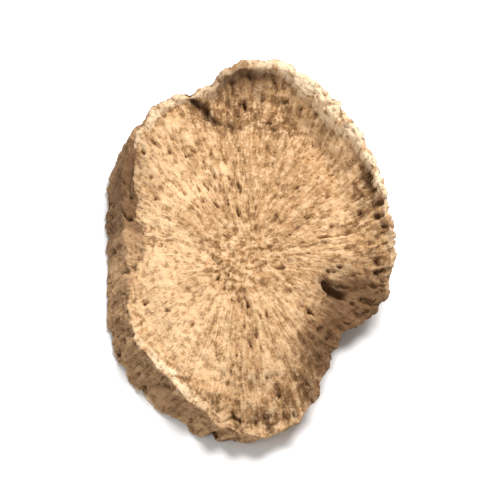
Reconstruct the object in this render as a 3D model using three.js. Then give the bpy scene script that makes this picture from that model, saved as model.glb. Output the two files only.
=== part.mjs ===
// A slice of dried burdock root, lying on the flatter of its two cut faces.
//
// Millimetres, +Z up. The origin is under the middle of the slice, on the surface that it lies on. +Y is the
// long way of the oval and +X the short way. The upper cut face, the wrinkled bark all round and the lower
// cut face are one piece, because a slice of root dries as one piece.
//
// The slice starts as a plain drum of radius 1 and height 1, and each corner of the drum is moved to its
// place on the slice. A place in the drum is given by its turn round the axis (0 to 1, anticlockwise from
// +X), its reach from the axis (0 to 1) and its level (0 on the lower cut face, 1 on the upper one).

import * as THREE from "three";

const { euclideanModulo, lerp, radToDeg, smoothstep } = THREE.MathUtils;
const FULL_TURN = 2 * Math.PI;

// Driving dimensions
const THICKNESS = 2.6; // of the middle of the slice, and of its edge where that curls up
const DOME = 0.3; // how far the woody middle of the upper face stands up
const CORTEX_WIDTH = 2.3; // from the wood to the bark
const GROOVE_DEPTH = 0.2; // of the shrunken ring where wood and cortex meet
const GROOVE_WIDTH = 0.45;
const LIP = 0.12; // how far the bark stands above the cortex that has shrunk inside it
const LIP_START = 0.93; // the reaches between which the lip rises; past them its top is level
const LIP_END = 0.95;
const WAIST = 0.12; // how far the bark pulls in between the two faces
const CURL_POWER = 3; // a high power keeps the curl to the outer part of the slice
const DROOP_POWER = 6; // and a higher one keeps the droop close to the bark
const FOOT_CUT = 0.06; // the lower face is worn flat up to this height

// The edge of the upper face, anticlockwise: x, y and height. It curls up at the top and right, droops at the
// bottom and is folded in at the notch on the lower right.
const RIM = [
  [7.7, 0.6, 2.9],
  [7.1, 3.3, 3.9],
  [5.9, 6.1, 4.3],
  [4.0, 8.6, 4.3],
  [1.6, 10.5, 4.0],
  [-0.8, 10.6, 3.7],
  [-2.5, 9.4, 3.2],
  [-4.6, 8.8, 3.0],
  [-6.4, 6.7, 2.7],
  [-6.8, 3.8, 2.3],
  [-6.5, 0.5, 2.1],
  [-6.5, -3.0, 2.0],
  [-5.7, -5.6, 1.9],
  [-3.8, -7.8, 1.7],
  [-1.6, -9.9, 1.4],
  [1.0, -10.5, 1.2],
  [3.0, -9.2, 1.3],
  [4.1, -6.9, 1.6],
  [4.8, -4.6, 1.5],
  [6.7, -3.2, 1.8],
  [7.6, -1.5, 2.3],
];

// The root was cut askew, so the lower face lies to one side of the upper one, and it is a little smaller
const BASE_SHARE = 0.96;
const BASE_SHIFT = new THREE.Vector2(-1.0, 0.05);

// The bark's wrinkles, which run from face to face and over the edges as pleats
const WRINKLES = 32;
const WRINKLE_SIZE = 0.13;
const WRINKLE_TWIST = 0.006; // share of a turn that a wrinkle leans between the two faces
const PLEAT_START = 0.78; // how far out the pleats begin on a cut face
const PLEAT_SHARE = 0.8; // a pleat's height on a cut face, as a share of its wrinkle's

// What differs by direction: degrees from +X, change, half width in degrees. The flare is how much further out
// the lower face reaches, so that the bark slopes there.
const FLARE = [
  [-118, 0.5, 14],
  [-160, 0.4, 40],
];
const WRINKLE_SWELLS = [
  [-65, 0.12, 30],
  [-135, 0.06, 25],
  [60, -0.05, 40],
];
const LIP_SWELLS = [
  [58, 0.28, 28],
  [130, 0.08, 20],
];
const CORTEX_SWELLS = [
  [5, 0.2, 30],
  [80, 0.5, 25],
  [125, -1.2, 17],
  [185, -1.3, 40],
  [-85, 0.7, 30],
];

// Waves that make the spacing of the wrinkles uneven: how many round the slice, share of a turn, phase
const WANDER = [
  [5, 0.005, 0.7],
  [9, 0.003, 2.1],
  [13, 0.002, 4.0],
];

// Waves that make the groove uneven: how many round the slice, share of its depth, phase
const GROOVE_WAVES = [
  [3, 0.25, 1.0],
  [7, 0.2, 2.6],
  [11, 0.2, 0.4],
];

// Hollows in the upper face: x, y, reach and depth
const HOLLOWS = [
  [4.2, -2.1, 0.7, 0.5],
  [5.5, -2.6, 1.2, 0.7],
  [4.3, -5.4, 0.9, 0.3],
  [-5.3, 1.6, 0.7, 0.2],
  [2.6, 3.4, 1.8, 0.12],
  [-1.6, -5.2, 1.6, 0.1],
];

// The trough along the inside of the curled edge at the top. It fades out on the right, and on the left it
// ends in a fold that runs in from the edge.
const TROUGH_DEPTH = 0.5;
const TROUGH_INSET = 2.1; // from the edge to the middle of the trough
const TROUGH_WIDTH = 0.9;
const TROUGH_START = 20; // the directions, in degrees from +X, between which it deepens
const TROUGH_FULL = 65;
const FOLD_DIRECTION = 111; // where the fold meets the edge
const FOLD_SLANT = 4; // degrees that it turns for each millimetre inwards
const FOLD_WIDTH = 7;

// Where the corners of the drum stand, from the middle of its lower face to that of its upper one: reaches on
// the two faces, and reach and level on the edge between them
const LOWER_REACHES = [0, 0.2, 0.4, 0.55, 0.67, 0.76, 0.83, 0.9, 0.96];
const EDGE = [
  [0.992, 0.04],
  [1, 0.16],
  [1, 0.5],
  [1, 0.84],
  [0.994, 0.97],
];
const UPPER_REACHES = [0.97, 0.95, 0.93, 0.9, 0.85, 0.79, 0.73, 0.66, 0.59, 0.51, 0.42, 0.3, 0.15, 0];
const CORNERS_PER_WRINKLE = 6;

const rim = new THREE.CatmullRomCurve3(
  RIM.map((corner) => new THREE.Vector3(...corner)),
  true,
  "catmullrom",
);

function waves(turn, table) {
  const angle = turn * FULL_TURN;
  return table.reduce((sum, [count, size, phase]) => sum + size * Math.sin(count * angle + phase), 0);
}

function bell(distance, width) {
  return Math.exp(-0.5 * (distance / width) ** 2);
}

function swells(degrees, table) {
  return table.reduce((sum, [centre, size, width]) => {
    const away = euclideanModulo(degrees - centre + 180, 360) - 180;
    return sum + size * bell(away, width);
  }, 0);
}

// A fixed number from 0 to 1 for each crest and furrow, so that no two neighbours are alike
function chance(index) {
  const large = Math.sin((index + 1) * 9.7) * 43758.5453;
  return large - Math.floor(large);
}

// From -1 to 1: crests and furrows of uneven height take turns, two to a wrinkle
function wrinkle(turn) {
  const place = euclideanModulo(turn, 1) * WRINKLES * 2;
  const before = Math.floor(place);
  const height = (index) => (index % 2 === 0 ? 1 : -1) * chance(index % (WRINKLES * 2));
  return lerp(height(before), height(before + 1), smoothstep(place - before, 0, 1));
}

function hollow(x, y, [u, v, size, depth]) {
  return depth * bell(Math.hypot(x - u, y - v), size);
}

// Depth of the trough in this direction, at this distance in from the edge
function trough(degrees, inset) {
  const fold = FOLD_DIRECTION - FOLD_SLANT * inset;
  const besideFold = 1 - smoothstep(degrees, fold - FOLD_WIDTH, fold);
  const depth = TROUGH_DEPTH * smoothstep(degrees, TROUGH_START, TROUGH_FULL) * besideFold;
  return depth * bell(inset - TROUGH_INSET, TROUGH_WIDTH);
}

// Where a corner of the drum goes
function placed(turn, reach, level) {
  const lean = waves(turn, WANDER) + WRINKLE_TWIST * (level - 0.5) * reach;
  const edge = rim.getPoint(euclideanModulo(turn + lean, 1));
  const across = Math.hypot(edge.x, edge.y);
  const degrees = radToDeg(Math.atan2(edge.y, edge.x));
  const wrinkleSize = WRINKLE_SIZE + swells(degrees, WRINKLE_SWELLS);
  const bark = wrinkleSize * wrinkle(turn) * smoothstep(reach, PLEAT_START, 1);

  const waist = WAIST * Math.sin(Math.PI * level) * reach;
  const flare = swells(degrees, FLARE) * (1 - level) * reach;
  const radius = lerp(BASE_SHARE, 1, level) * across * reach + bark - waist + flare;
  const x = (radius * edge.x) / across + BASE_SHIFT.x * (1 - level);
  const y = (radius * edge.y) / across + BASE_SHIFT.y * (1 - level);

  const woodReach = 1 - (CORTEX_WIDTH + swells(degrees, CORTEX_SWELLS)) / across;
  const fromGroove = (reach - woodReach) * across - GROOVE_WIDTH;
  const groove = GROOVE_DEPTH * bell(fromGroove, GROOVE_WIDTH) * (1 + waves(turn, GROOVE_WAVES));
  const pleat = PLEAT_SHARE * bark;
  const rise = edge.z - THICKNESS;
  const bend = rise * Math.min(1, reach / LIP_END) ** (rise > 0 ? CURL_POWER : DROOP_POWER);

  const dome = DOME * Math.max(0, 1 - (reach / woodReach) ** 2);
  const lip = (LIP + swells(degrees, LIP_SWELLS)) * smoothstep(reach, LIP_START, LIP_END);
  const inset = (1 - reach) * across;
  const hollows = HOLLOWS.reduce((sum, item) => sum + hollow(x, y, item), trough(degrees, inset));
  const upper = THICKNESS + bend + dome + lip + pleat - groove - hollows;
  const lower = Math.max(0, Math.max(0, bend) + groove - pleat - FOOT_CUT);
  return new THREE.Vector3(x, y, lerp(lower, upper, level));
}

function drum() {
  const profile = [
    ...LOWER_REACHES.map((reach) => [reach, 0]),
    ...EDGE,
    ...UPPER_REACHES.map((reach) => [reach, 1]),
  ];
  const points = profile.map(([reach, level]) => new THREE.Vector2(reach, level));
  return new THREE.LatheGeometry(points, WRINKLES * CORNERS_PER_WRINKLE);
}

function sliceGeometry() {
  const geometry = drum();
  const position = geometry.getAttribute("position");
  const uv = geometry.getAttribute("uv");
  for (let i = 0; i < position.count; i += 1) {
    const reach = Math.hypot(position.getX(i), position.getZ(i));
    const spot = placed(uv.getX(i), reach, position.getY(i));
    position.setXYZ(i, spot.x, spot.y, spot.z);
  }
  geometry.computeBoundingBox();
  const middle = geometry.boundingBox.getCenter(new THREE.Vector3());
  geometry.translate(-middle.x, -middle.y, -geometry.boundingBox.min.z);
  geometry.computeVertexNormals();
  return geometry;
}

const driedRoot = new THREE.MeshStandardMaterial({ color: 0xd2a878, roughness: 0.95, metalness: 0 });

const slice = new THREE.Mesh(sliceGeometry(), driedRoot);
slice.name = "burdock_slice";

const part = new THREE.Group();
part.add(slice);

export default part;
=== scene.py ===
"""A slice of dried burdock root: its cut faces, cortex and bark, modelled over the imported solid.

The slice is shaped as the solid is. A drum of radius 1 and height 1 is spun, each of its points is moved to
its place on the slice, and then the fine relief is raised on it. A point of the drum is given by its turn
round the axis (0 to 1, anticlockwise from +X), its reach from the axis (0 to 1) and its level (0 on the
lower cut face, 1 on the upper one). Shapes are worked out in millimetres and placed in metres.
"""

import math
from typing import NamedTuple

import bmesh
import bpy
from bpy.props import FloatProperty, FloatVectorProperty, IntProperty, PointerProperty
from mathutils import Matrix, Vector, noise


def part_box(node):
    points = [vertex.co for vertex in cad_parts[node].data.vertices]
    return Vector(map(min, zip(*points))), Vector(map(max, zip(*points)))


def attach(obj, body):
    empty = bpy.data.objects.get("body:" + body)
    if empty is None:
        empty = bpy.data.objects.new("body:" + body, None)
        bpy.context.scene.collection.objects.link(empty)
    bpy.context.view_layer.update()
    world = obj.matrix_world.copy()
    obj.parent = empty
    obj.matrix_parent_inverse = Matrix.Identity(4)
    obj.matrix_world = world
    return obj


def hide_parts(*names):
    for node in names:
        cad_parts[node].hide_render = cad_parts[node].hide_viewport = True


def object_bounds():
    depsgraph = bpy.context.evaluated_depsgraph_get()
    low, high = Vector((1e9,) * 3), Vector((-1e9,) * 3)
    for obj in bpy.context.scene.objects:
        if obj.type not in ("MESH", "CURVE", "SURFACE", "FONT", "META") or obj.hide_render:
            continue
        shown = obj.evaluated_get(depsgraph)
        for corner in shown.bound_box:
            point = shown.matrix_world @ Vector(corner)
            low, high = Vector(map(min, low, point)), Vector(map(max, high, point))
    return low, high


bl_info = {
    "name": "Dried burdock slice",
    "version": (1, 0, 0),
    "blender": (4, 5, 0),
    "location": "View3D > Sidebar > Burdock",
    "description": "Models a slice of dried burdock root and the floor, lights and camera round it",
    "category": "Add Mesh",
}

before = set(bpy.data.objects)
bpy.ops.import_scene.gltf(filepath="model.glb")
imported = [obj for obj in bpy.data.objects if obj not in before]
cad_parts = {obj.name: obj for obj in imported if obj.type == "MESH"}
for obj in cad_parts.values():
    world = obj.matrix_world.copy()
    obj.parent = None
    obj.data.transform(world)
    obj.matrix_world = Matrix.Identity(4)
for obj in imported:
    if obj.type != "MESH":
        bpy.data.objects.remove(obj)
CAD_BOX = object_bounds()
NODE = "burdock_slice"
MM = 0.001

# The slice's own dimensions, in millimetres, as the solid has them. The lip rises between two reaches.
THICKNESS = 2.6
DOME = 0.3
CORTEX_WIDTH = 2.3
GROOVE_DEPTH = 0.2
GROOVE_WIDTH = 0.45
LIP = 0.12
LIP_START = 0.93
LIP_END = 0.95
WAIST = 0.12
CURL_POWER = 3
DROOP_POWER = 6
FOOT_CUT = 0.06

# The edge of the upper face, anticlockwise: x, y and height
RIM = [
    Vector(corner)
    for corner in (
        (7.7, 0.6, 2.9),
        (7.1, 3.3, 3.9),
        (5.9, 6.1, 4.3),
        (4.0, 8.6, 4.3),
        (1.6, 10.5, 4.0),
        (-0.8, 10.6, 3.7),
        (-2.5, 9.4, 3.2),
        (-4.6, 8.8, 3.0),
        (-6.4, 6.7, 2.7),
        (-6.8, 3.8, 2.3),
        (-6.5, 0.5, 2.1),
        (-6.5, -3.0, 2.0),
        (-5.7, -5.6, 1.9),
        (-3.8, -7.8, 1.7),
        (-1.6, -9.9, 1.4),
        (1.0, -10.5, 1.2),
        (3.0, -9.2, 1.3),
        (4.1, -6.9, 1.6),
        (4.8, -4.6, 1.5),
        (6.7, -3.2, 1.8),
        (7.6, -1.5, 2.3),
    )
]
BASE_SHARE = 0.96
BASE_SHIFT = Vector((-1.0, 0.05))

# The bark's wrinkles
WRINKLES = 32
WRINKLE_SIZE = 0.13
WRINKLE_TWIST = 0.006
PLEAT_START = 0.78
PLEAT_SHARE = 0.8

# What differs by direction: degrees from +X, change, half width in degrees
FLARE = ((-118, 0.5, 14), (-160, 0.4, 40))
WRINKLE_SWELLS = ((-65, 0.12, 30), (-135, 0.06, 25), (60, -0.05, 40))
LIP_SWELLS = ((58, 0.28, 28), (130, 0.08, 20))
CORTEX_SWELLS = ((5, 0.2, 30), (80, 0.5, 25), (125, -1.2, 17), (185, -1.3, 40), (-85, 0.7, 30))

# Waves round the slice: how many, size, phase
WANDER = ((5, 0.005, 0.7), (9, 0.003, 2.1), (13, 0.002, 4.0))
GROOVE_WAVES = ((3, 0.25, 1.0), (7, 0.2, 2.6), (11, 0.2, 0.4))

# Hollows in the upper face: x, y, reach and depth. The dark ones, round the notch, are painted darker brown
# by their depth, partly their own brown and partly painted shade in the hollows.
DARK_HOLLOWS = ((5.5, -2.6, 1.2, 0.7), (4.3, -5.4, 0.9, 0.3))
PALE_HOLLOWS = (
    (4.2, -2.1, 0.7, 0.5),
    (-5.3, 1.6, 0.7, 0.2),
    (2.6, 3.4, 1.8, 0.12),
    (-1.6, -5.2, 1.6, 0.1),
)

# The trough along the inside of the curled edge, which deepens between two directions, in degrees, and the
# fold where it ends. The fold slants this many degrees for each millimetre inwards.
TROUGH_DEPTH = 0.5
TROUGH_INSET = 2.1
TROUGH_WIDTH = 0.9
TROUGH_START = 20
TROUGH_FULL = 65
FOLD_DIRECTION = 111
FOLD_SLANT = 4
FOLD_WIDTH = 7

# The fine relief, which only the mesh has. Widths, lengths and heights are in millimetres.
NOISE = {"noise_basis": "PERLIN_ORIGINAL"}
NOISE_SEED = 3  # without a seed, noise_vector differs from run to run
SEED_STEP = Vector((31.7, 17.3, 9.1))  # from one seed's noise to the next one's
FACE_GAP = 40.0  # keeps the noise of the upper face apart from that of the lower one
FACE_JOIN = (0.3, 0.7)  # the levels between which one face's noise passes into the other's
COMB_SAMPLES = 5  # how many samples of noise a streak is drawn out of
CRACK_PATCHES = (-0.25, 0.2)  # the noise at which a patch of cracks begins, and at which it is full
PIT_LENGTH = 1.6  # as a multiple of its width
PIT_CLUSTERS = 0.3  # how much the pits gather in clusters
PIT_CLUSTER_SIZE = 6  # as a multiple of a pit's width
PIT_WALL = (0.75, 1.0)  # the noise at a pit's brim and at its floor, before its share is taken off
CRUMB_BEND = 0.35  # how much a crumb's outline is bent
CRUMB_BENDS = 1.3  # how many bends there are to a crumb
CRUMB_STEEPNESS = 2.2

# The pith, where the rays of the wood meet, and the distances from it at which the rays begin and are full
PITH = Vector((-0.6, -0.9))
RAYS_BEGIN = 0.5
RAYS_FULL = 3.2

# The dark slit beside the notch
SLIT_MIDDLE = Vector((4.25, -1.95))
SLIT_DIRECTION = Vector((0.9, -0.44)).normalized()
SLIT_LENGTH = 0.45
SLIT_WIDTH = 0.14
SLIT_DEPTH = 0.75
SLIT_WANDER = 0.18  # how far its sides wander
SLIT_WANDER_SIZE = 0.4

# The thin crease in the fold. It has its full depth at the edge and as far in as the last of these values.
CREASE_DEPTH = 0.4
CREASE_WIDTH = 0.16
CREASE_LENGTH = 4.2
CREASE_FULL = 1.5

# The dark seam close inside the lip: a groove, painted dark as well, partly its own brown and partly painted
# shade
SEAM_DEPTH = 0.12
SEAM_INSET = 0.85
SEAM_WIDTH = 0.16


class Streak(NamedTuple):
    """Ridges drawn out along the grain, or across it."""

    height: float
    width: float
    length: float
    seed: int


class Crack(NamedTuple):
    """Gaps along the grain. Patch is the size of the parts that have them, edge how wide they open."""

    depth: float
    width: float
    length: float
    edge: float
    patch: float
    seed: int


class Pit(NamedTuple):
    """Small ragged pits. Share is how much of the surface they take, from 0 to about 0.6."""

    depth: float
    width: float
    share: float
    seed: int


class Grain(NamedTuple):
    """Lumps without a direction. More octaves put finer lumps on them."""

    height: float
    size: float
    seed: int
    octaves: int = 1


class Texture(NamedTuple):
    """The fine relief of one tissue of the root."""

    along: tuple
    across: tuple
    cracks: tuple
    pits: tuple
    lumps: tuple
    crumbs: tuple


WOOD = Texture(
    along=(Streak(0.11, 0.42, 1.9, 1), Streak(0.07, 0.2, 1.0, 2)),
    across=(),
    cracks=(Crack(0.09, 0.5, 1.8, 0.1, 1.7, 3),),
    pits=(Pit(0.2, 0.3, 0.2, 5), Pit(0.1, 0.2, 0.2, 7)),
    lumps=(Grain(0.07, 0.5, 9), Grain(0.05, 0.2, 10)),
    crumbs=(Grain(0.06, 0.36, 11),),
)
CORTEX = Texture(
    along=(Streak(0.15, 0.55, 2.4, 21), Streak(0.09, 0.26, 1.2, 22)),
    across=(Streak(0.08, 0.3, 1.1, 23),),
    cracks=(Crack(0.2, 0.62, 2.2, 0.13, 1.2, 24),),
    pits=(Pit(0.2, 0.34, 0.3, 26),),
    lumps=(Grain(0.06, 0.2, 28),),
    crumbs=(Grain(0.05, 0.3, 29),),
)
BARK = Texture(
    along=(Streak(0.15, 0.55, 2.8, 21), Streak(0.05, 0.2, 1.6, 42)),
    across=(Streak(0.05, 0.17, 1.1, 43),),
    cracks=(Crack(0.17, 0.42, 3.0, 0.15, 6.0, 44), Crack(0.1, 0.25, 2.0, 0.12, 1.5, 46)),
    pits=(Pit(0.24, 0.44, 0.26, 52),),
    lumps=(Grain(0.035, 0.2, 50),),
    crumbs=(),
)

# Broad unevenness of the faces, which fades out between this reach and the edge
SWELL = (Grain(0.12, 2.7, 61), Grain(0.07, 1.2, 62))
SWELL_REACH = 0.9

# The swirl of the grain, and how strong it is at the pith and far from it. Streaks are short at the pith.
SWIRL = Grain(1.0, 2.0, 71, 2)
SWIRL_NEAR = 1.6
SWIRL_FAR = 0.6
COMB_NEAR = 0.2

# How far the border between wood and cortex, the crease and the seam wander, in millimetres
WOOD_WANDER = Grain(0.6, 1.5, 72, 3)
CREASE_WANDER = Grain(0.12, 1.5, 72, 3)
SEAM_WANDER = Grain(0.15, 0.8, 81)

# How far the borders of bark and lip wander, as shares of the reach, and how uneven the bark's overhang is
BARK_WANDER = Grain(0.008, 0.5, 73)
BARK_UNEVENNESS = Grain(0.5, 0.8, 76, 2)
LIP_WANDER = (Grain(0.01, 0.6, 74, 2), Grain(0.014, 3.0, 75))

# Where one tissue passes into the next: half a width in millimetres for the wood, reaches for bark and lip
WOOD_BORDER = 0.6
BARK_BORDER = (0.985, 0.999)
LIP_BORDER = (0.93, 0.938)
LIP_BARK = 0.6  # how much of the bark's relief the lip has

# Where the tissues end on the upper face: how much further out the wood goes, and how much further in the
# lip and the bark go. Degrees from +X, millimetres, half width in degrees. The lip also starts to rise that
# much further in, and the end of its rise moves by a share of that.
# The reach at 50 degrees also paints the shaded inner slope of the curl with the wood's paler colour:
# painted light.
WOOD_OVER = ((230, 1.5, 22), (150, 0.4, 15), (88, -1.3, 16), (50, 1.5, 15))
LIP_OVER = ((61, 0.6, 14),)
BARK_OVER = ((157, 0.95, 16), (184, 0.45, 11))
LIP_OVER_SHARE = 0.7

# How pale the lip is, partly worn and partly a painted highlight on the lit curled edge, how open the seam
# is, and how
# dark the bark is: degrees from +X, strength, half width in degrees
LIP_WEAR_AND_HIGHLIGHT = ((54, 1.25, 30), (130, 0.7, 16), (237, 0.75, 11))
SEAMS = ((27, 0.8, 11), (92, 0.7, 10))
# The bark's darkness is partly its own brown and partly painted shade, on the upper left and lower left
# walls.
BARK_STAINS_AND_SHADE = ((153, 0.8, 13), (240, 0.4, 12))
LEAST_PALENESS = 0.1  # of the lip, in all directions
# A dark hollow's depth, as painted darker brown: partly its own colour and partly painted shade.
HOLLOW_STAIN_AND_SHADE = 1.3  # of a dark hollow, for each millimetre of its depth

# Paler and duskier patches of the faces, and brown stains mixed with painted shade: x, y, reach and strength
PALE_PATCHES = (
    (-4.3, 3.6, 1.8, 0.5),
    (-4.3, -0.6, 1.7, 0.6),
    (3.9, 2.6, 0.8, 0.4),
    (4.4, 0.2, 1.6, 0.4),
    (-2.8, -5.4, 1.6, 0.5),
    (-3.0, -7.4, 1.2, 0.6),
    # These two lighten the shaded slopes inside the curl: painted light.
    (2.7, 8.3, 1.4, 1.4),
    (4.6, 6.4, 1.3, 1.2),
    (-6.0, -3.8, 1.0, 0.5),
)
DUSKY_PATCHES = (
    (-0.4, 0.3, 1.9, 0.8),
    (1.2, -1.4, 1.0, 0.4),
    (-0.4, 5.0, 1.3, 0.4),
    # These two darken where the trough's inner slope faces the light: painted shade.
    (0.6, 6.8, 1.3, 1.0),
    (2.0, 4.9, 2.2, 1.2),
    (1.2, -6.3, 2.2, 0.5),
)
# Partly real brown and partly painted shade: under the lip, round the notch, along the bottom and on the
# upper left.
STAINS_AND_SHADE = (
    (4.3, -5.6, 1.2, 1.0),
    (3.4, -8.0, 1.0, 0.45),
    (6.0, -2.7, 1.2, 0.6),
    (5.4, -3.9, 0.9, 0.7),
    (0.4, -9.2, 1.8, 0.25),
    (-0.6, 9.9, 0.45, 0.7),
    (0.3, 9.5, 0.45, 0.6),
    (-1.8, 9.7, 0.4, 0.6),
    (-6.4, 5.2, 1.1, 0.5),
    (2.6, 7.7, 0.3, 0.25),
    (3.2, 7.2, 0.35, 0.3),
    (3.8, 6.6, 0.3, 0.3),
)

# What the material reads from the slice's points, as numbers. The height is 0.5 where no relief is raised.
ATTRIBUTES = ("wood", "bark", "lip", "stain_and_shade", "spread", "pale", "height")
HEIGHT_MIDDLE = 0.5
HEIGHT_STEP = 1.6  # for each millimetre of relief
PALE_STEP = 0.12  # by which a pale patch counts as higher, so that its crests are paler too

# Where a tissue turns from its shade to its colour, and where strands, gaps, pits and crests begin to show
# and show in full. Gaps and pits show where the value is low, so theirs run downwards.
WOOD_LIMITS = (0.42, 0.6)
CORTEX_LIMITS = (0.42, 0.58)
BARK_LIMITS = (0.42, 0.58)
LIP_LIMITS = (0.36, 0.54)
STRAND_LIMITS = (0.52, 0.68)
GAP_LIMITS = (0.46, 0.34)
PIT_LIMITS = (0.45, 0.08)
CREST_LIMITS = (0.62, 0.92)
PATCH_TONE = 0.12  # by which a patch of strength 1 changes the tone

# The stage, in metres: half a side of the floor, the softboxes' places from the middle of the slice and
# their sides, and how near and how far the camera sees
FLOOR_REACH = 1.5
KEY_PLACE = Vector((0.16, 0.24, 0.45))
KEY_SIDE = 0.24
FILL_PLACE = Vector((-0.45, -0.3, 0.35))
FILL_SIDE = 0.5
SKY_COLOUR = (1.0, 0.985, 0.965, 1)
CAMERA_RANGE = (0.01, 10)

# The drum's profile, from the middle of its lower face to that of its upper one: reach, level, and how many
# rings of faces lie between this corner and the next
PROFILE = (
    (0.0, 0.0, 52),
    (0.96, 0.0, 3),
    (0.992, 0.04, 3),
    (1.0, 0.16, 18),
    (1.0, 0.84, 3),
    (0.994, 0.97, 3),
    (0.97, 1.0, 12),
    (0.9, 1.0, 82),
    (0.0, 1.0, 0),
)


def smoothstep(value, low, high):
    """0 at low, 1 at high and smooth in between. Low may be the higher of the two."""
    share = min(max((value - low) / (high - low), 0.0), 1.0)
    return share * share * (3 - 2 * share)


def lerp(start, end, share):
    return start + (end - start) * share


def bell(distance, width):
    return math.exp(-0.5 * (distance / width) ** 2)


def waves(turn, table):
    return sum(size * math.sin(count * turn * math.tau + phase) for count, size, phase in table)


def swells(degrees, table):
    total = 0.0
    for centre, size, width in table:
        away = (degrees - centre + 180) % 360 - 180
        total += size * bell(away, width)
    return total


def chance(index):
    """A fixed number from 0 to 1 for each crest and furrow."""
    large = math.sin((index + 1) * 9.7) * 43758.5453
    return large - math.floor(large)


def wrinkle(turn):
    """From -1 to 1: crests and furrows of uneven height take turns, two to a wrinkle."""
    place = (turn % 1) * WRINKLES * 2
    before = math.floor(place)
    heights = [(-1) ** index * chance(index % (WRINKLES * 2)) for index in (before, before + 1)]
    return lerp(*heights, smoothstep(place - before, 0, 1))


def rim_at(turn):
    """The point of the upper edge at this turn, on a smooth closed curve through RIM."""
    place = (turn % 1) * len(RIM)
    first = math.floor(place)
    share = place - first
    a, b, c, d = (RIM[(first + step) % len(RIM)] for step in (-1, 0, 1, 2))
    bend = 2 * a - 5 * b + 4 * c - d + (3 * b - a - 3 * c + d) * share
    return b + 0.5 * share * (c - a + share * bend)


def hollow(x, y, item):
    u, v, size, depth = item
    return depth * bell(math.hypot(x - u, y - v), size)


def fold_at(inset):
    """The direction in which the fold lies, at this distance in from the edge."""
    return FOLD_DIRECTION - FOLD_SLANT * inset


def trough(degrees, inset):
    """Depth of the trough in this direction, at this distance in from the edge."""
    fold = fold_at(inset)
    beside_fold = 1 - smoothstep(degrees, fold - FOLD_WIDTH, fold)
    depth = TROUGH_DEPTH * smoothstep(degrees, TROUGH_START, TROUGH_FULL) * beside_fold
    return depth * bell(inset - TROUGH_INSET, TROUGH_WIDTH)


class Place:
    """A point of the drum, moved to its place on the slice, and what the fine relief needs to know of it."""

    def __init__(self, turn, reach, level):
        lean = waves(turn, WANDER) + WRINKLE_TWIST * (level - 0.5) * reach
        edge = rim_at(turn + lean)
        across = math.hypot(edge.x, edge.y)
        degrees = math.degrees(math.atan2(edge.y, edge.x))
        inset = (1 - reach) * across
        size = WRINKLE_SIZE + swells(degrees, WRINKLE_SWELLS)
        bark = size * wrinkle(turn) * smoothstep(reach, PLEAT_START, 1)

        waist = WAIST * math.sin(math.pi * level) * reach
        flare = swells(degrees, FLARE) * (1 - level) * reach
        radius = lerp(BASE_SHARE, 1, level) * across * reach + bark - waist + flare
        x = radius * edge.x / across + BASE_SHIFT.x * (1 - level)
        y = radius * edge.y / across + BASE_SHIFT.y * (1 - level)

        wood_reach = 1 - (CORTEX_WIDTH + swells(degrees, CORTEX_SWELLS)) / across
        from_groove = (reach - wood_reach) * across - GROOVE_WIDTH
        groove = GROOVE_DEPTH * bell(from_groove, GROOVE_WIDTH) * (1 + waves(turn, GROOVE_WAVES))
        pleat = PLEAT_SHARE * bark
        rise = edge.z - THICKNESS
        bend = rise * min(1, reach / LIP_END) ** (CURL_POWER if rise > 0 else DROOP_POWER)

        dome = DOME * max(0, 1 - (reach / wood_reach) ** 2)
        lip_over = swells(degrees, LIP_OVER) / across
        slope = smoothstep(reach, LIP_START - lip_over, LIP_END - LIP_OVER_SHARE * lip_over)
        lip = (LIP + swells(degrees, LIP_SWELLS)) * slope
        dark = sum(hollow(x, y, item) for item in DARK_HOLLOWS)
        hollows = dark + sum(hollow(x, y, item) for item in PALE_HOLLOWS) + trough(degrees, inset)
        upper = THICKNESS + bend + dome + lip + pleat - groove - hollows
        lower = max(0, max(0, bend) + groove - pleat - FOOT_CUT)

        self.spot = Vector((x, y, lerp(lower, upper, level)))
        self.out = Vector((edge.x, edge.y, 0)) / across
        self.degrees = degrees
        self.distance = across * reach
        self.inset = inset
        self.reach = reach
        self.level = level
        self.from_wood = (reach - wood_reach) * across
        self.from_fold = math.radians(degrees - fold_at(inset)) * self.distance
        self.wood_over = swells(degrees, WOOD_OVER) * level
        self.lip_over = lip_over * level
        self.bark_over = swells(degrees, BARK_OVER) * level / across
        # Brown stains with painted shade: the dark hollows and the stain patches.
        stain_and_shade = HOLLOW_STAIN_AND_SHADE * dark + sum(hollow(x, y, item) for item in STAINS_AND_SHADE)
        self.stain_and_shade = min(1.0, stain_and_shade) * level
        self.find_grain()

    def find_grain(self):
        """Notes which way the rays of the wood run here, how far from the pith and how clearly."""
        from_pith = self.out.to_2d() * self.distance - PITH
        self.grain = from_pith.normalized()
        self.ray = from_pith.length
        self.spread = smoothstep(self.ray, RAYS_BEGIN, RAYS_FULL)

    def unfolded(self, face):
        """Where this place would lie if the wall were folded out flat from the face, 1 upper or 0 lower."""
        flat = self.out * (self.distance + THICKNESS * abs(self.level - face))
        flat.z = FACE_GAP * face
        return flat


def lumps(spot, grain):
    """Height of smooth lumps, up or down. Each seed has lumps of its own."""
    point = spot / grain.size + grain.seed * SEED_STEP
    return grain.height * noise.fractal(point, 1.0, 2.0, grain.octaves, **NOISE)


def combed(spot, along, width, length, seed):
    """Noise from about -1 to 1, drawn out along a direction into streaks of this width and length."""
    point = (spot - along * (length / 2)) / width + seed * SEED_STEP
    step = along * (length / (COMB_SAMPLES - 1) / width)
    total = 0.0
    for _ in range(COMB_SAMPLES):
        total += noise.noise(point, **NOISE)
        point = point + step
    return total / math.sqrt(COMB_SAMPLES)


def furrow(value, width):
    """1 where the value crosses zero, and 0 from this width away."""
    return max(0.0, 1 - abs(value) / width)


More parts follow.
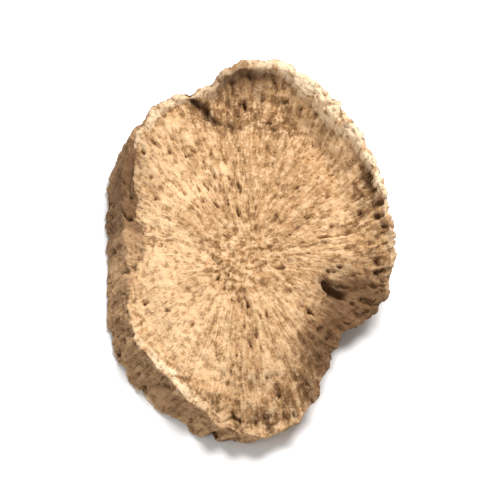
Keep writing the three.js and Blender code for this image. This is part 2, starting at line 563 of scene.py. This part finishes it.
def pits(spot, along, width, share, seed):
    """Depth from 0 to 1 of small ragged pits, a little longer than they are wide."""
    clusters = Grain(PIT_CLUSTERS, PIT_CLUSTER_SIZE * width, seed + 1)
    value = combed(spot, along, width, PIT_LENGTH * width, seed) + lumps(spot, clusters)
    shallow, deep = PIT_WALL
    return smoothstep(-value, shallow - share, deep - share)


def crumbs(spot, size, seed):
    """Height from 0 to 1 of rounded crumbs of this size, packed side by side."""
    bend = CRUMB_BEND * noise.noise_vector(spot / size * CRUMB_BENDS, **NOISE)
    near, second = noise.voronoi(spot / size + seed * SEED_STEP + bend)[0][:2]
    return min(1.0, CRUMB_STEEPNESS * (second - near))


def texture_height(texture, spot, along, comb=1.0):
    """Height of a tissue's fine relief. Comb is a share of the length of its streaks."""
    aside = Vector((-along.y, along.x, 0))
    height = 0.0
    for item in texture.along:
        height += item.height * combed(spot, along, item.width, item.length * comb, item.seed)
    for item in texture.across:
        height += item.height * combed(spot, aside, item.width, item.length, item.seed)
    for item in texture.cracks:
        gap = furrow(combed(spot, along, item.width, item.length * comb, item.seed), item.edge)
        patch = lumps(spot, Grain(1.0, item.patch, item.seed + 1))
        height -= item.depth * gap * smoothstep(patch, *CRACK_PATCHES)
    for item in texture.pits:
        height -= item.depth * pits(spot, along, item.width, item.share, item.seed)
    for item in texture.lumps:
        height += lumps(spot, item)
    for item in texture.crumbs:
        height += item.height * crumbs(spot, item.size, item.seed)
    return height


def slit(spot):
    """Depth from 0 to 1 of the dark slit beside the notch."""
    wander = SLIT_WANDER * noise.noise_vector(spot / SLIT_WANDER_SIZE, **NOISE)
    away = (spot + wander).to_2d() - SLIT_MIDDLE
    lengthwise = away.dot(SLIT_DIRECTION)
    crosswise = away.dot(SLIT_DIRECTION.orthogonal())
    return bell(lengthwise, SLIT_LENGTH) * bell(crosswise, SLIT_WIDTH)


def crease(place, flat):
    """Depth from 0 to 1 of the thin crease in the fold."""
    away = place.from_fold + lumps(flat, CREASE_WANDER)
    return bell(away, CREASE_WIDTH) * smoothstep(place.inset, CREASE_LENGTH, CREASE_FULL)


def seam(place):
    """How open the dark seam along the inside of the lip is, from 0 to 1."""
    away = place.inset - SEAM_INSET + lumps(place.spot, SEAM_WANDER)
    return bell(away, SEAM_WIDTH) * swells(place.degrees, SEAMS) * place.level


def tissues(place, flat):
    """How much of what lies here is wood, bark and lip, each from 0 to 1. The rest is cortex."""
    past_wood = place.from_wood - place.wood_over + lumps(flat, WOOD_WANDER)
    wood = 1 - smoothstep(past_wood, -WOOD_BORDER, WOOD_BORDER)
    bark_over = place.bark_over * (1 + lumps(flat, BARK_UNEVENNESS))
    bark = smoothstep(place.reach + bark_over + lumps(flat, BARK_WANDER), *BARK_BORDER)
    lip_wander = sum(lumps(flat, item) for item in LIP_WANDER)
    lip = smoothstep(place.reach + place.lip_over + lip_wander, *LIP_BORDER) * (1 - bark)
    return wood, bark, lip


def face_relief(place, face):
    """Height of the fine relief as one face's noise gives it, and how much of it is wood, bark and lip."""
    flat = place.unfolded(face)
    swirl = lerp(SWIRL_NEAR, SWIRL_FAR, place.spread) * lumps(flat, SWIRL)
    along = (place.grain + swirl * place.grain.orthogonal()).to_3d().normalized()
    wood, bark, lip = tissues(place, flat)
    height = 0.0
    if wood < 1:
        height = texture_height(CORTEX, flat, along)
    if wood > 0:
        comb = lerp(COMB_NEAR, 1, place.spread)
        height = lerp(height, texture_height(WOOD, flat, along, comb), wood)
    if face == 1:
        height -= CREASE_DEPTH * crease(place, flat)
        height -= SLIT_DEPTH * slit(place.spot)
        height -= SEAM_DEPTH * seam(place)
    rim = max(bark, LIP_BARK * lip)
    if rim > 0:
        height = lerp(height, texture_height(BARK, flat, along), rim)
    return Vector((height, wood, bark, lip))


def relief(place):
    """Height of the fine relief and how much is wood, bark and lip, with the two faces' noises joined."""
    upper = smoothstep(place.level, *FACE_JOIN)
    if upper == 1:
        return face_relief(place, 1)
    if upper == 0:
        return face_relief(place, 0)
    return face_relief(place, 0).lerp(face_relief(place, 1), upper)


def swell(place):
    """Height of the broad unevenness of the faces."""
    flat = place.unfolded(1 if place.level > 0.5 else 0)
    fade = 1 - smoothstep(place.reach, SWELL_REACH, 1)
    return fade * sum(lumps(flat, item) for item in SWELL)


def paleness(place):
    """How much paler, or with a minus sign duskier, wood and cortex are here, partly painted light and shade
    on the trough's slopes.
    """
    x, y = place.spot.xy
    pale = sum(hollow(x, y, item) for item in PALE_PATCHES)
    return pale - sum(hollow(x, y, item) for item in DUSKY_PATCHES)


class Value:
    """A socket of a shader, on which Python's arithmetic adds Math nodes."""

    def __init__(self, paint, socket):
        self.paint = paint
        self.socket = socket

    def maths(self, operation, first, second):
        return self.paint.node("ShaderNodeMath", {"operation": operation}, {0: first, 1: second})

    def __add__(self, other):
        return self.maths("ADD", self, other)

    def __radd__(self, other):
        return self.maths("ADD", other, self)

    def __sub__(self, other):
        return self.maths("SUBTRACT", self, other)

    def __rsub__(self, other):
        return self.maths("SUBTRACT", other, self)

    def __mul__(self, other):
        return self.maths("MULTIPLY", self, other)

    def __rmul__(self, other):
        return self.maths("MULTIPLY", other, self)


class Paint:
    """The shader tree of one new material."""

    def __init__(self, name):
        self.material = bpy.data.materials.new(name)
        self.material.use_nodes = True
        self.tree = self.material.node_tree
        self.tree.nodes.clear()

    def node(self, kind, settings=None, sockets=None, output=None):
        """Adds a node with these settings, and values or links for its sockets.

        Returns one of its outputs, and the first that is in use where none is named.
        """
        made = self.tree.nodes.new(kind)
        for name, value in (settings or {}).items():
            setattr(made, name, value)
        for key, value in (sockets or {}).items():
            self.connect(made, key, value)
        if output:
            return Value(self, made.outputs[output])
        return Value(self, next((socket for socket in made.outputs if socket.enabled), None))

    def connect(self, made, key, value):
        """Links or sets an input, which is given by its number or by its name."""
        if isinstance(key, int):
            socket = made.inputs[key]
        else:
            socket = next(item for item in made.inputs if item.enabled and item.name == key)
        if isinstance(value, Value):
            self.tree.links.new(value.socket, socket)
        else:
            socket.default_value = value

    def mix(self, factor, first, second):
        """From the first colour to the second by the factor."""
        settings = {"data_type": "RGBA", "clamp_factor": True}
        return self.node("ShaderNodeMix", settings, {"Factor": factor, "A": first, "B": second})

    def darken(self, factor, colour, tint):
        """The colour, multiplied by the tint by this factor."""
        settings = {"data_type": "RGBA", "blend_type": "MULTIPLY", "clamp_factor": True}
        return self.node("ShaderNodeMix", settings, {"Factor": factor, "A": colour, "B": tint})

    def attribute(self, name, output="Fac"):
        """A vertex attribute of the piece, as a number unless another output is named."""
        return self.node("ShaderNodeAttribute", {"attribute_name": name}, {}, output)

    def scaled_noise(self, place, scale, detail, distortion=0.0):
        """Noise from 0 to 1 at this place, scaled by a number for each axis."""
        mapped = self.node("ShaderNodeMapping", {"vector_type": "POINT"}, {"Vector": place, "Scale": scale})
        sockets = {"Vector": mapped, "Scale": 1.0, "Detail": detail, "Distortion": distortion}
        return self.node("ShaderNodeTexNoise", {}, sockets)

    def speckle(self, size, detail):
        """Noise in the piece's own space, with patches of this size in metres."""
        place = self.node("ShaderNodeTexCoord", {}, {}, "Object")
        return self.scaled_noise(place, (1 / size,) * 3, detail)

    def streaks(self, around, along):
        """Radial streaks: this many times their width round a radian, and this many to a metre outwards."""
        return self.scaled_noise(self.attribute("ray", "Vector"), (around, around, along), 2.0, 0.8)

    def between(self, value, low, high):
        """0 below low, 1 above high, and smooth in between. Low may be the higher of the two."""
        settings = {"interpolation_type": "SMOOTHSTEP"}
        sockets = {"Value": value, "From Min": low, "From Max": high}
        return self.node("ShaderNodeMapRange", settings, sockets)

    def toned(self, tone, limits, shade, colour):
        """From the shade to the colour, as the tone goes from the one limit to the other."""
        return self.mix(self.between(tone, *limits), (*shade, 1), (*colour, 1))


class Noises:
    """The noises that the root's colours are mixed by, from 0 to 1. At the pith rays turn into specks."""

    def __init__(self, paint):
        spread = paint.attribute("spread")
        self.blotches = paint.speckle(2.6 * MM, 3.0)
        self.mottle = paint.speckle(0.9 * MM, 3.0)
        self.flecks = paint.speckle(0.35 * MM, 2.0)
        self.dust = paint.speckle(0.12 * MM, 2.0)
        self.broad_rays = self.mottle + (paint.streaks(around=9.0, along=380.0) - self.mottle) * spread
        self.rays = self.flecks + (paint.streaks(around=20.0, along=620.0) - self.flecks) * spread
        self.fine_rays = self.flecks + (paint.streaks(around=58.0, along=1300.0) - self.flecks) * spread


def tissue_colour(paint, look, noises):
    """The colours of wood, cortex, bark and lip, each between its shade and its colour."""
    patches = paint.attribute("pale") * PATCH_TONE
    streaky = noises.rays * 0.15 + patches
    wood_tone = noises.blotches * 0.4 + noises.mottle * 0.2 + noises.broad_rays * 0.25 + streaky
    cortex_tone = noises.blotches * 0.15 + noises.mottle * 0.35 + noises.broad_rays * 0.35 + streaky
    bark_tone = noises.blotches * 0.3 + noises.mottle * 0.25 + noises.rays * 0.3 + noises.fine_rays * 0.15
    lip_tone = noises.mottle * 0.6 + noises.flecks * 0.4
    wood = paint.toned(wood_tone, WOOD_LIMITS, look.wood_shade, look.wood_colour)
    cortex = paint.toned(cortex_tone, CORTEX_LIMITS, look.cortex_shade, look.cortex_colour)
    bark = paint.toned(bark_tone, BARK_LIMITS, look.bark_shade, look.bark_colour)
    lip = paint.toned(lip_tone, LIP_LIMITS, look.cortex_colour, look.lip_colour)
    body = paint.mix(paint.attribute("wood"), cortex, wood)
    body = paint.mix(paint.attribute("bark"), body, bark)
    return paint.mix(paint.attribute("lip"), body, lip)


def worn_and_shaded_colour(paint, look, noises, body):
    """The body's colour with pale strands and crests, dark gaps, pits darkened by depth (partly their own
    brown and partly painted shade), and the brown stains with painted shade.
    """
    bare = 1 - paint.attribute("bark") * 0.6
    specks = (noises.flecks - 0.5) * 0.8 + (noises.dust - 0.5) * 0.5
    fibre = noises.rays * 0.4 + noises.fine_rays * 0.6 + specks * bare
    strands = paint.between(fibre, *STRAND_LIMITS) * bare
    body = paint.mix(strands * 0.6, body, (*look.fleck_colour, 1))
    gaps = paint.between(fibre, *GAP_LIMITS)
    body = paint.darken(gaps * 0.7, body, (*look.gap_tint, 1))

    height = paint.attribute("height") + (noises.dust - 0.5) * 0.3
    # Deeper places are darkened: partly the pits' own brown and partly painted shade in the recesses.
    low = paint.between(height, *PIT_LIMITS)
    body = paint.darken(low * 0.82, body, (*look.pit_tint, 1))
    high = paint.between(height, *CREST_LIMITS) * bare
    body = paint.mix(high * (0.75 - paint.attribute("wood") * 0.35), body, (*look.crest_colour, 1))
    return paint.mix(paint.attribute("stain_and_shade") * 0.85, body, (*look.stain_and_shade_colour, 1))


def root_material(look):
    """Dry root: pale fibrous wood, browner cortex and bark, dark in the pits, partly as painted shade, and
    pale on what stands up.
    """
    paint = Paint("dried_root")
    noises = Noises(paint)
    body = worn_and_shaded_colour(paint, look, noises, tissue_colour(paint, look, noises))
    bumps = noises.dust * 0.4 + noises.flecks * 0.25 + noises.fine_rays * 0.35
    bump = paint.node("ShaderNodeBump", {}, {"Height": bumps, "Strength": 0.8, "Distance": 0.2 * MM})
    roughness = 0.86 + 0.12 * noises.mottle
    sockets = {"Base Color": body, "Roughness": roughness, "Normal": bump, "Specular IOR Level": 0.18}
    shader = paint.node("ShaderNodeBsdfPrincipled", {}, sockets)
    paint.node("ShaderNodeOutputMaterial", {}, {"Surface": shader})
    return paint.material


def plain_material(name, colour):
    """A matt material of one colour."""
    paint = Paint(name)
    shader = paint.node("ShaderNodeBsdfPrincipled", {}, {"Base Color": (*colour, 1), "Roughness": 0.9})
    paint.node("ShaderNodeOutputMaterial", {}, {"Surface": shader})
    return paint.material


def place_mesh(bm, name, material):
    """Makes an object at the origin from the bmesh."""
    mesh = bpy.data.meshes.new(name)
    bm.to_mesh(mesh)
    bm.free()
    mesh.materials.append(material)
    piece = bpy.data.objects.new(name, mesh)
    bpy.context.scene.collection.objects.link(piece)
    return piece


def drum(segments):
    """A bmesh of the plain drum, radius 1 and height 1, closed at both poles."""
    bm = bmesh.new()
    corners = []
    for (reach, level, rings), (next_reach, next_level, _) in zip(PROFILE, PROFILE[1:]):
        for ring in range(rings):
            share = ring / rings
            corners.append((lerp(reach, next_reach, share), 0, lerp(level, next_level, share)))
    corners.append((PROFILE[-1][0], 0, PROFILE[-1][1]))
    line = [bm.verts.new(corner) for corner in corners]
    edges = [bm.edges.new(pair) for pair in zip(line, line[1:])]
    centre = (0, 0, 0)
    bmesh.ops.spin(
        bm, geom=line + edges, cent=centre, axis=(0, 0, 1), angle=math.tau, steps=segments, use_merge=True
    )
    bmesh.ops.remove_doubles(bm, verts=bm.verts, dist=1e-6)
    return bm


def place_on_drum(corner):
    """The place of this point of the drum."""
    turn = math.atan2(corner.y, corner.x) / math.tau % 1
    reach = min(1.0, math.hypot(corner.x, corner.y))
    return Place(turn, reach, min(max(corner.z, 0.0), 1.0))


def tones(place, height, wood, bark, lip):
    """What the material reads at this place, in the order of ATTRIBUTES."""
    # The lip's paleness: partly wear and partly a painted highlight where light falls on the curled edge.
    worn = lip * min(1.0, LEAST_PALENESS + swells(place.degrees, LIP_WEAR_AND_HIGHLIGHT))
    # Stains with painted shade: those of the place, the seam's dark line under the lip and the darker bark.
    stain_and_shade = place.stain_and_shade + seam(place) + bark * swells(place.degrees, BARK_STAINS_AND_SHADE)
    pale = paleness(place)
    level = HEIGHT_MIDDLE + HEIGHT_STEP * height + PALE_STEP * max(0.0, pale)
    return wood, bark, worn, min(1.0, stain_and_shade), place.spread, pale, level


def shape_slice(look):
    """The bmesh of the slice, with its relief and the attributes that its material reads."""
    noise.seed_set(NOISE_SEED)
    bm = drum(look.segments)
    layers = [bm.verts.layers.float.new(name) for name in ATTRIBUTES]
    ray = bm.verts.layers.float_vector.new("ray")
    places = [place_on_drum(vert.co) for vert in bm.verts]
    for vert, place in zip(bm.verts, places):
        vert.co = place.spot
    low = Vector(min(place.spot[axis] for place in places) for axis in range(3))
    high = Vector(max(place.spot[axis] for place in places) for axis in range(3))
    bmesh.ops.recalc_face_normals(bm, faces=bm.faces)
    bm.normal_update()
    for vert, place in zip(bm.verts, places):
        height, wood, bark, lip = relief(place)
        vert.co = place.spot + vert.normal * (height + swell(place)) * look.relief
        for layer, tone in zip(layers, tones(place, height, wood, bark, lip)):
            vert[layer] = tone
        down = THICKNESS * (1 - place.level)
        vert[ray] = Vector((*place.grain, (place.ray + down) * MM))
    box_low, box_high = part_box(NODE)
    shift = (box_low + box_high) / 2 - (low + high) / 2 * MM
    shift.z = 0
    for vert in bm.verts:
        vert.co = vert.co * MM + shift
        vert.co.z = max(vert.co.z, 0.0)
    for face in bm.faces:
        face.smooth = True
    return bm


def colour_setting(name, description, default):
    """A colour that the panel shows."""
    return FloatVectorProperty(name=name, description=description, subtype="COLOR", default=default)


def length_setting(name, description, default):
    """A length in metres that the panel shows."""
    return FloatProperty(
        name=name, description=description, subtype="DISTANCE", unit="LENGTH", default=default
    )


def number_setting(name, description, default):
    """A number that the panel shows, from 0 up."""
    return FloatProperty(name=name, description=description, default=default, min=0)


class BurdockLook(bpy.types.PropertyGroup):
    """The sizes and colours of the slice."""

    segments: IntProperty(
        name="Segments", description="Columns of faces round the slice", default=560, min=24
    )
    relief: number_setting("Relief", "Share of the relief that is raised", 1.0)
    wood_colour: colour_setting("Wood", "Pale wood of the cut faces", (0.78, 0.505, 0.275))
    wood_shade: colour_setting("Wood shade", "Darker blotches of the wood", (0.50, 0.29, 0.135))
    fleck_colour: colour_setting("Flecks", "Pale strands of fibre", (0.82, 0.575, 0.345))
    cortex_colour: colour_setting("Cortex", "The ring between wood and bark", (0.62, 0.37, 0.178))
    cortex_shade: colour_setting("Cortex shade", "Darker blotches of the cortex", (0.29, 0.155, 0.066))
    bark_colour: colour_setting("Bark", "Worn bark", (0.54, 0.33, 0.172))
    bark_shade: colour_setting("Bark shade", "Darker bark", (0.33, 0.19, 0.095))
    # Pale partly by wear and partly as a painted highlight of the lit edge.
    lip_colour: colour_setting("Lip", "The worn, pale lip of the curled edge", (0.92, 0.72, 0.49))
    gap_tint: colour_setting("Gap tint", "Darkens the gaps between fibres", (0.42, 0.35, 0.28))
    # Pits and cracks darkened by depth: partly their own brown and partly painted shade.
    pit_tint: colour_setting("Pit tint", "Darkens the pits and cracks", (0.25, 0.20, 0.16))
    # Brown of the stains, deepened by painted shade in the notch, the seam and the darkest bark.
    stain_and_shade_colour: colour_setting("Stain", "Brown of the notch, seam and darkest bark", (0.11, 0.052, 0.022))
    crest_colour: colour_setting("Crests", "What stands up and is worn pale", (0.84, 0.60, 0.37))


class BurdockStage(bpy.types.PropertyGroup):
    """The floor, the lights and the camera."""

    floor_colour: colour_setting("Floor", "Plain pale floor", (0.86, 0.86, 0.86))
    elevation: FloatProperty(
        name="Elevation",
        description="How steeply the camera looks down",
        subtype="ANGLE",
        unit="ROTATION",
        default=math.radians(61),
    )
    distance: length_setting("Distance", "From the camera to the middle of the slice", 0.5)
    view_height: length_setting("View height", "Height of what the camera frames at the slice", 0.0262)
    key_power: number_setting("Key light", "Power of the main softbox, in watts", 3.8)
    fill_power: number_setting("Fill light", "Power of the other softbox, in watts", 1.2)
    sky: number_setting("Sky", "Strength of the even light from all round", 0.42)


class BURDOCK_OT_slice(bpy.types.Operator):
    """Models the slice in place of the plain solid"""

    bl_idname = "burdock.slice"
    bl_label = "Dried slice"

    def execute(self, context):
        look = context.scene.burdock_look
        piece = place_mesh(shape_slice(look), "dried_slice", root_material(look))
        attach(piece, "root")
        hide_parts(NODE)
        return {"FINISHED"}


def add_softbox(name, power, side, place, target):
    """A square area light with sides of this length at a place, facing the target."""
    light = bpy.data.lights.new(name, "AREA")
    light.energy = power
    light.size = side
    lamp = bpy.data.objects.new(name, light)
    lamp.location = place
    lamp.rotation_euler = (target - place).to_track_quat("-Z", "Y").to_euler()
    bpy.context.scene.collection.objects.link(lamp)


class BURDOCK_OT_stage(bpy.types.Operator):
    """Sets up the floor, the soft lights and the camera"""

    bl_idname = "burdock.stage"
    bl_label = "Floor, lights and camera"

    def execute(self, context):
        stage = context.scene.burdock_stage
        scene = context.scene
        centre = (CAD_BOX[0] + CAD_BOX[1]) / 2

        bm = bmesh.new()
        bmesh.ops.create_grid(bm, x_segments=1, y_segments=1, size=FLOOR_REACH)
        floor = place_mesh(bm, "floor", plain_material("pale_floor", stage.floor_colour))

        add_softbox("key", stage.key_power, KEY_SIDE, centre + KEY_PLACE, centre)
        add_softbox("fill", stage.fill_power, FILL_SIDE, centre + FILL_PLACE, centre)
        world = bpy.data.worlds.new("sky")
        world.use_nodes = True
        background = world.node_tree.nodes["Background"]
        background.inputs["Color"].default_value = SKY_COLOUR
        background.inputs["Strength"].default_value = stage.sky
        scene.world = world
        scene.view_settings.view_transform = "Standard"

        camera = bpy.data.cameras.new("camera")
        camera.lens = camera.sensor_width * stage.distance / stage.view_height
        camera.clip_start, camera.clip_end = CAMERA_RANGE
        holder = bpy.data.objects.new("camera", camera)
        back = Vector((0, -math.cos(stage.elevation), math.sin(stage.elevation)))
        holder.location = centre + back * stage.distance
        holder.rotation_euler = (-back).to_track_quat("-Z", "Y").to_euler()
        scene.collection.objects.link(holder)
        scene.camera = holder
        return {"FINISHED"}


class BURDOCK_PT_panel(bpy.types.Panel):
    """Lists what the add-on makes"""

    bl_label = "Burdock slice"
    bl_space_type = "VIEW_3D"
    bl_region_type = "UI"
    bl_category = "Burdock"

    def draw(self, context):
        layout = self.layout
        for group, operator in (
            (context.scene.burdock_look, BURDOCK_OT_slice),
            (context.scene.burdock_stage, BURDOCK_OT_stage),
        ):
            box = layout.box()
            for name in group.__annotations__:
                box.prop(group, name)
            box.operator(operator.bl_idname)


CLASSES = (BurdockLook, BurdockStage, BURDOCK_OT_slice, BURDOCK_OT_stage, BURDOCK_PT_panel)


def register():
    for item in CLASSES:
        bpy.utils.register_class(item)
    bpy.types.Scene.burdock_look = PointerProperty(type=BurdockLook)
    bpy.types.Scene.burdock_stage = PointerProperty(type=BurdockStage)


def unregister():
    del bpy.types.Scene.burdock_stage
    del bpy.types.Scene.burdock_look
    for item in reversed(CLASSES):
        bpy.utils.unregister_class(item)


def main():
    register()
    bpy.ops.burdock.stage()
    bpy.ops.burdock.slice()


if __name__ == "__main__":
    main()
